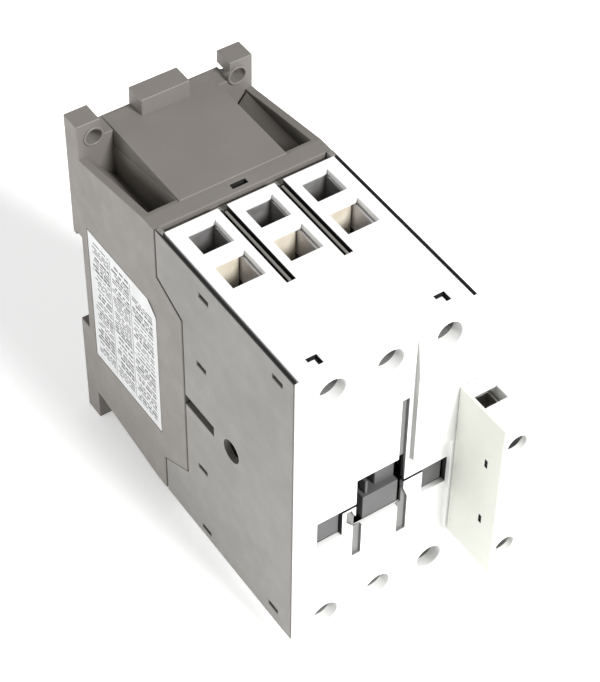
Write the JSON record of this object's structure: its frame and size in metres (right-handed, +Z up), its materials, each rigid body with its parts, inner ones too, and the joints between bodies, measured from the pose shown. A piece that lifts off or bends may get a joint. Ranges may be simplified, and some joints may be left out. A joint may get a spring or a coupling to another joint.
{
  "type": "magnetic motor starter contactor",
  "caption": "Three-pole electromagnetic contactor of a motor starter: dark moulded base with fixing ears and rail notch, pale front cover, screw terminals and a side coil terminal block.",
  "frame": {"origin": "centre of the mounting plane at the back, at mid width and mid height", "axes": "+X to the right seen from the front, +Y from the front to the mounting plane, +Z up"},
  "size_m": [0.058, 0.131, 0.115],
  "materials": {
    "dark_plastic": "fine matt moulded grain",
    "light_plastic": "smooth matt moulding",
    "carrier_plastic": "smooth satin moulding",
    "label_foil": "silver-grey printed foil, satin",
    "zinc_steel": "zinc plated, slightly dulled",
    "spring_steel": "drawn wire",
    "contact_copper": "copper alloy with silvered tips",
    "winding_copper": "enamelled copper wire under clear tape",
    "laminated_steel": "stacked and riveted sheet, oiled",
    "bobbin_plastic": "natural cream nylon",
    "buffer_rubber": "black moulded rubber",
    "chute_steel": "dull steel plates in fibre boards",
    "lead_insulation": "black insulated lead"
  },
  "bodies": {
    "housing": {"base_housing": "dark_plastic", "contact_chamber": "dark_plastic", "front_cover": "light_plastic", "coil_terminal_block": "light_plastic", "label_plate": "label_foil", "rail_clip_spring": "spring_steel", "core_buffer": "buffer_rubber", "fixed_core": "laminated_steel", "shading_ring_upper": "contact_copper", "shading_ring_lower": "contact_copper", "coil_bobbin": "bobbin_plastic", "coil_winding": "winding_copper", "return_spring_left": "spring_steel", "return_spring_right": "spring_steel", "terminal_bar_line_1": "contact_copper", "arc_chute_line_1": "chute_steel", "terminal_bar_load_1": "contact_copper", "arc_chute_load_1": "chute_steel", "terminal_bar_line_2": "contact_copper", "arc_chute_line_2": "chute_steel", "terminal_bar_load_2": "contact_copper", "arc_chute_load_2": "chute_steel", "terminal_bar_line_3": "contact_copper", "arc_chute_line_3": "chute_steel", "terminal_bar_load_3": "contact_copper", "arc_chute_load_3": "chute_steel", "coil_lead_a1": "lead_insulation", "coil_lead_a2": "lead_insulation", "housing_screw_upper": "zinc_steel", "housing_screw_lower": "zinc_steel"},
    "moving_system": {"contact_carrier": "carrier_plastic", "armature": "laminated_steel", "armature_pin": "zinc_steel", "contact_spring_1": "spring_steel", "spring_seat_1": "carrier_plastic", "contact_spring_2": "spring_steel", "spring_seat_2": "carrier_plastic", "contact_spring_3": "spring_steel", "spring_seat_3": "carrier_plastic"},
    "bridge_1": {"contact_bridge_1": "contact_copper"},
    "bridge_2": {"contact_bridge_2": "contact_copper"},
    "bridge_3": {"contact_bridge_3": "contact_copper"},
    "screw_line_1": {"terminal_screw_line_1": "zinc_steel"},
    "cage_line_1": {"cage_clamp_line_1": "zinc_steel"},
    "screw_load_1": {"terminal_screw_load_1": "zinc_steel"},
    "cage_load_1": {"cage_clamp_load_1": "zinc_steel"},
    "screw_line_2": {"terminal_screw_line_2": "zinc_steel"},
    "cage_line_2": {"cage_clamp_line_2": "zinc_steel"},
    "screw_load_2": {"terminal_screw_load_2": "zinc_steel"},
    "cage_load_2": {"cage_clamp_load_2": "zinc_steel"},
    "screw_line_3": {"terminal_screw_line_3": "zinc_steel"},
    "cage_line_3": {"cage_clamp_line_3": "zinc_steel"},
    "screw_load_3": {"terminal_screw_load_3": "zinc_steel"},
    "cage_load_3": {"cage_clamp_load_3": "zinc_steel"},
    "coil_screw_a1": {"coil_screw_a1": "zinc_steel"},
    "coil_clamp_a1": {"coil_clamp_a1": "zinc_steel"},
    "coil_screw_a2": {"coil_screw_a2": "zinc_steel"},
    "coil_clamp_a2": {"coil_clamp_a2": "zinc_steel"},
    "rail_clip": {"rail_clip": "zinc_steel"}
  },
  "joints": [
    {"name": "carrier_stroke", "type": "slide", "parent": "housing", "child": "moving_system", "axis": [0, 1, 0], "range_m": [0, 0.006], "stiffness_N_per_m": 1200, "springref_m": -0.006, "deforming": ["return_spring_left", "return_spring_right"]},
    {"name": "bridge_overtravel_1", "type": "slide", "parent": "moving_system", "child": "bridge_1", "axis": [0, -1, 0], "range_m": [0, 0.00155], "deforming": ["contact_spring_1"]},
    {"name": "bridge_overtravel_2", "type": "slide", "parent": "moving_system", "child": "bridge_2", "axis": [0, -1, 0], "range_m": [0, 0.00155], "deforming": ["contact_spring_2"]},
    {"name": "bridge_overtravel_3", "type": "slide", "parent": "moving_system", "child": "bridge_3", "axis": [0, -1, 0], "range_m": [0, 0.00155], "deforming": ["contact_spring_3"]},
    {"name": "terminal_turn_line_1", "type": "hinge", "parent": "housing", "child": "screw_line_1", "pos_m": [-0.0173, -0.08, 0.0453], "axis": [0, 1, 0], "range_deg": [0, 1085]},
    {"name": "cage_lift_line_1", "type": "slide", "parent": "housing", "child": "cage_line_1", "axis": [0, -1, 0], "range_m": [0, 0.003]},
    {"name": "terminal_turn_load_1", "type": "hinge", "parent": "housing", "child": "screw_load_1", "pos_m": [-0.0173, -0.08, -0.0453], "axis": [0, 1, 0], "range_deg": [0, 1085]},
    {"name": "cage_lift_load_1", "type": "slide", "parent": "housing", "child": "cage_load_1", "axis": [0, -1, 0], "range_m": [0, 0.003]},
    {"name": "terminal_turn_line_2", "type": "hinge", "parent": "housing", "child": "screw_line_2", "pos_m": [0, -0.08, 0.0453], "axis": [0, 1, 0], "range_deg": [0, 1085]},
    {"name": "cage_lift_line_2", "type": "slide", "parent": "housing", "child": "cage_line_2", "axis": [0, -1, 0], "range_m": [0, 0.003]},
    {"name": "terminal_turn_load_2", "type": "hinge", "parent": "housing", "child": "screw_load_2", "pos_m": [0, -0.08, -0.0453], "axis": [0, 1, 0], "range_deg": [0, 1085]},
    {"name": "cage_lift_load_2", "type": "slide", "parent": "housing", "child": "cage_load_2", "axis": [0, -1, 0], "range_m": [0, 0.003]},
    {"name": "terminal_turn_line_3", "type": "hinge", "parent": "housing", "child": "screw_line_3", "pos_m": [0.0173, -0.08, 0.0453], "axis": [0, 1, 0], "range_deg": [0, 1085]},
    {"name": "cage_lift_line_3", "type": "slide", "parent": "housing", "child": "cage_line_3", "axis": [0, -1, 0], "range_m": [0, 0.003]},
    {"name": "terminal_turn_load_3", "type": "hinge", "parent": "housing", "child": "screw_load_3", "pos_m": [0.0173, -0.08, -0.0453], "axis": [0, 1, 0], "range_deg": [0, 1085]},
    {"name": "cage_lift_load_3", "type": "slide", "parent": "housing", "child": "cage_load_3", "axis": [0, -1, 0], "range_m": [0, 0.003]},
    {"name": "coil_turn_a1", "type": "hinge", "parent": "housing", "child": "coil_screw_a1", "pos_m": [0.0258, -0.125, 0.0176], "axis": [0, 1, 0], "range_deg": [0, 1085]},
    {"name": "coil_lift_a1", "type": "slide", "parent": "housing", "child": "coil_clamp_a1", "axis": [0, -1, 0], "range_m": [0, 0.0018]},
    {"name": "coil_turn_a2", "type": "hinge", "parent": "housing", "child": "coil_screw_a2", "pos_m": [0.0258, -0.125, -0.0238], "axis": [0, 1, 0], "range_deg": [0, 1085]},
    {"name": "coil_lift_a2", "type": "slide", "parent": "housing", "child": "coil_clamp_a2", "axis": [0, -1, 0], "range_m": [0, 0.0018]},
    {"name": "rail_clip_release", "type": "slide", "parent": "housing", "child": "rail_clip", "axis": [0, 0, -1], "range_m": [0, 0.003], "stiffness_N_per_m": 1500, "springref_m": -0.002, "deforming": ["rail_clip_spring"]}
  ],
  "couplings": [
    {"joint": "bridge_overtravel_1", "follows": "carrier_stroke", "ratio": 0.25},
    {"joint": "bridge_overtravel_2", "follows": "carrier_stroke", "ratio": 0.25},
    {"joint": "bridge_overtravel_3", "follows": "carrier_stroke", "ratio": 0.25},
    {"joint": "terminal_turn_line_1", "follows": "cage_lift_line_1", "rad_per_m": 6283.2},
    {"joint": "terminal_turn_load_1", "follows": "cage_lift_load_1", "rad_per_m": 6283.2},
    {"joint": "terminal_turn_line_2", "follows": "cage_lift_line_2", "rad_per_m": 6283.2},
    {"joint": "terminal_turn_load_2", "follows": "cage_lift_load_2", "rad_per_m": 6283.2},
    {"joint": "terminal_turn_line_3", "follows": "cage_lift_line_3", "rad_per_m": 6283.2},
    {"joint": "terminal_turn_load_3", "follows": "cage_lift_load_3", "rad_per_m": 6283.2},
    {"joint": "coil_turn_a1", "follows": "coil_lift_a1", "rad_per_m": 10472},
    {"joint": "coil_turn_a2", "follows": "coil_lift_a2", "rad_per_m": 10472}
  ]
}
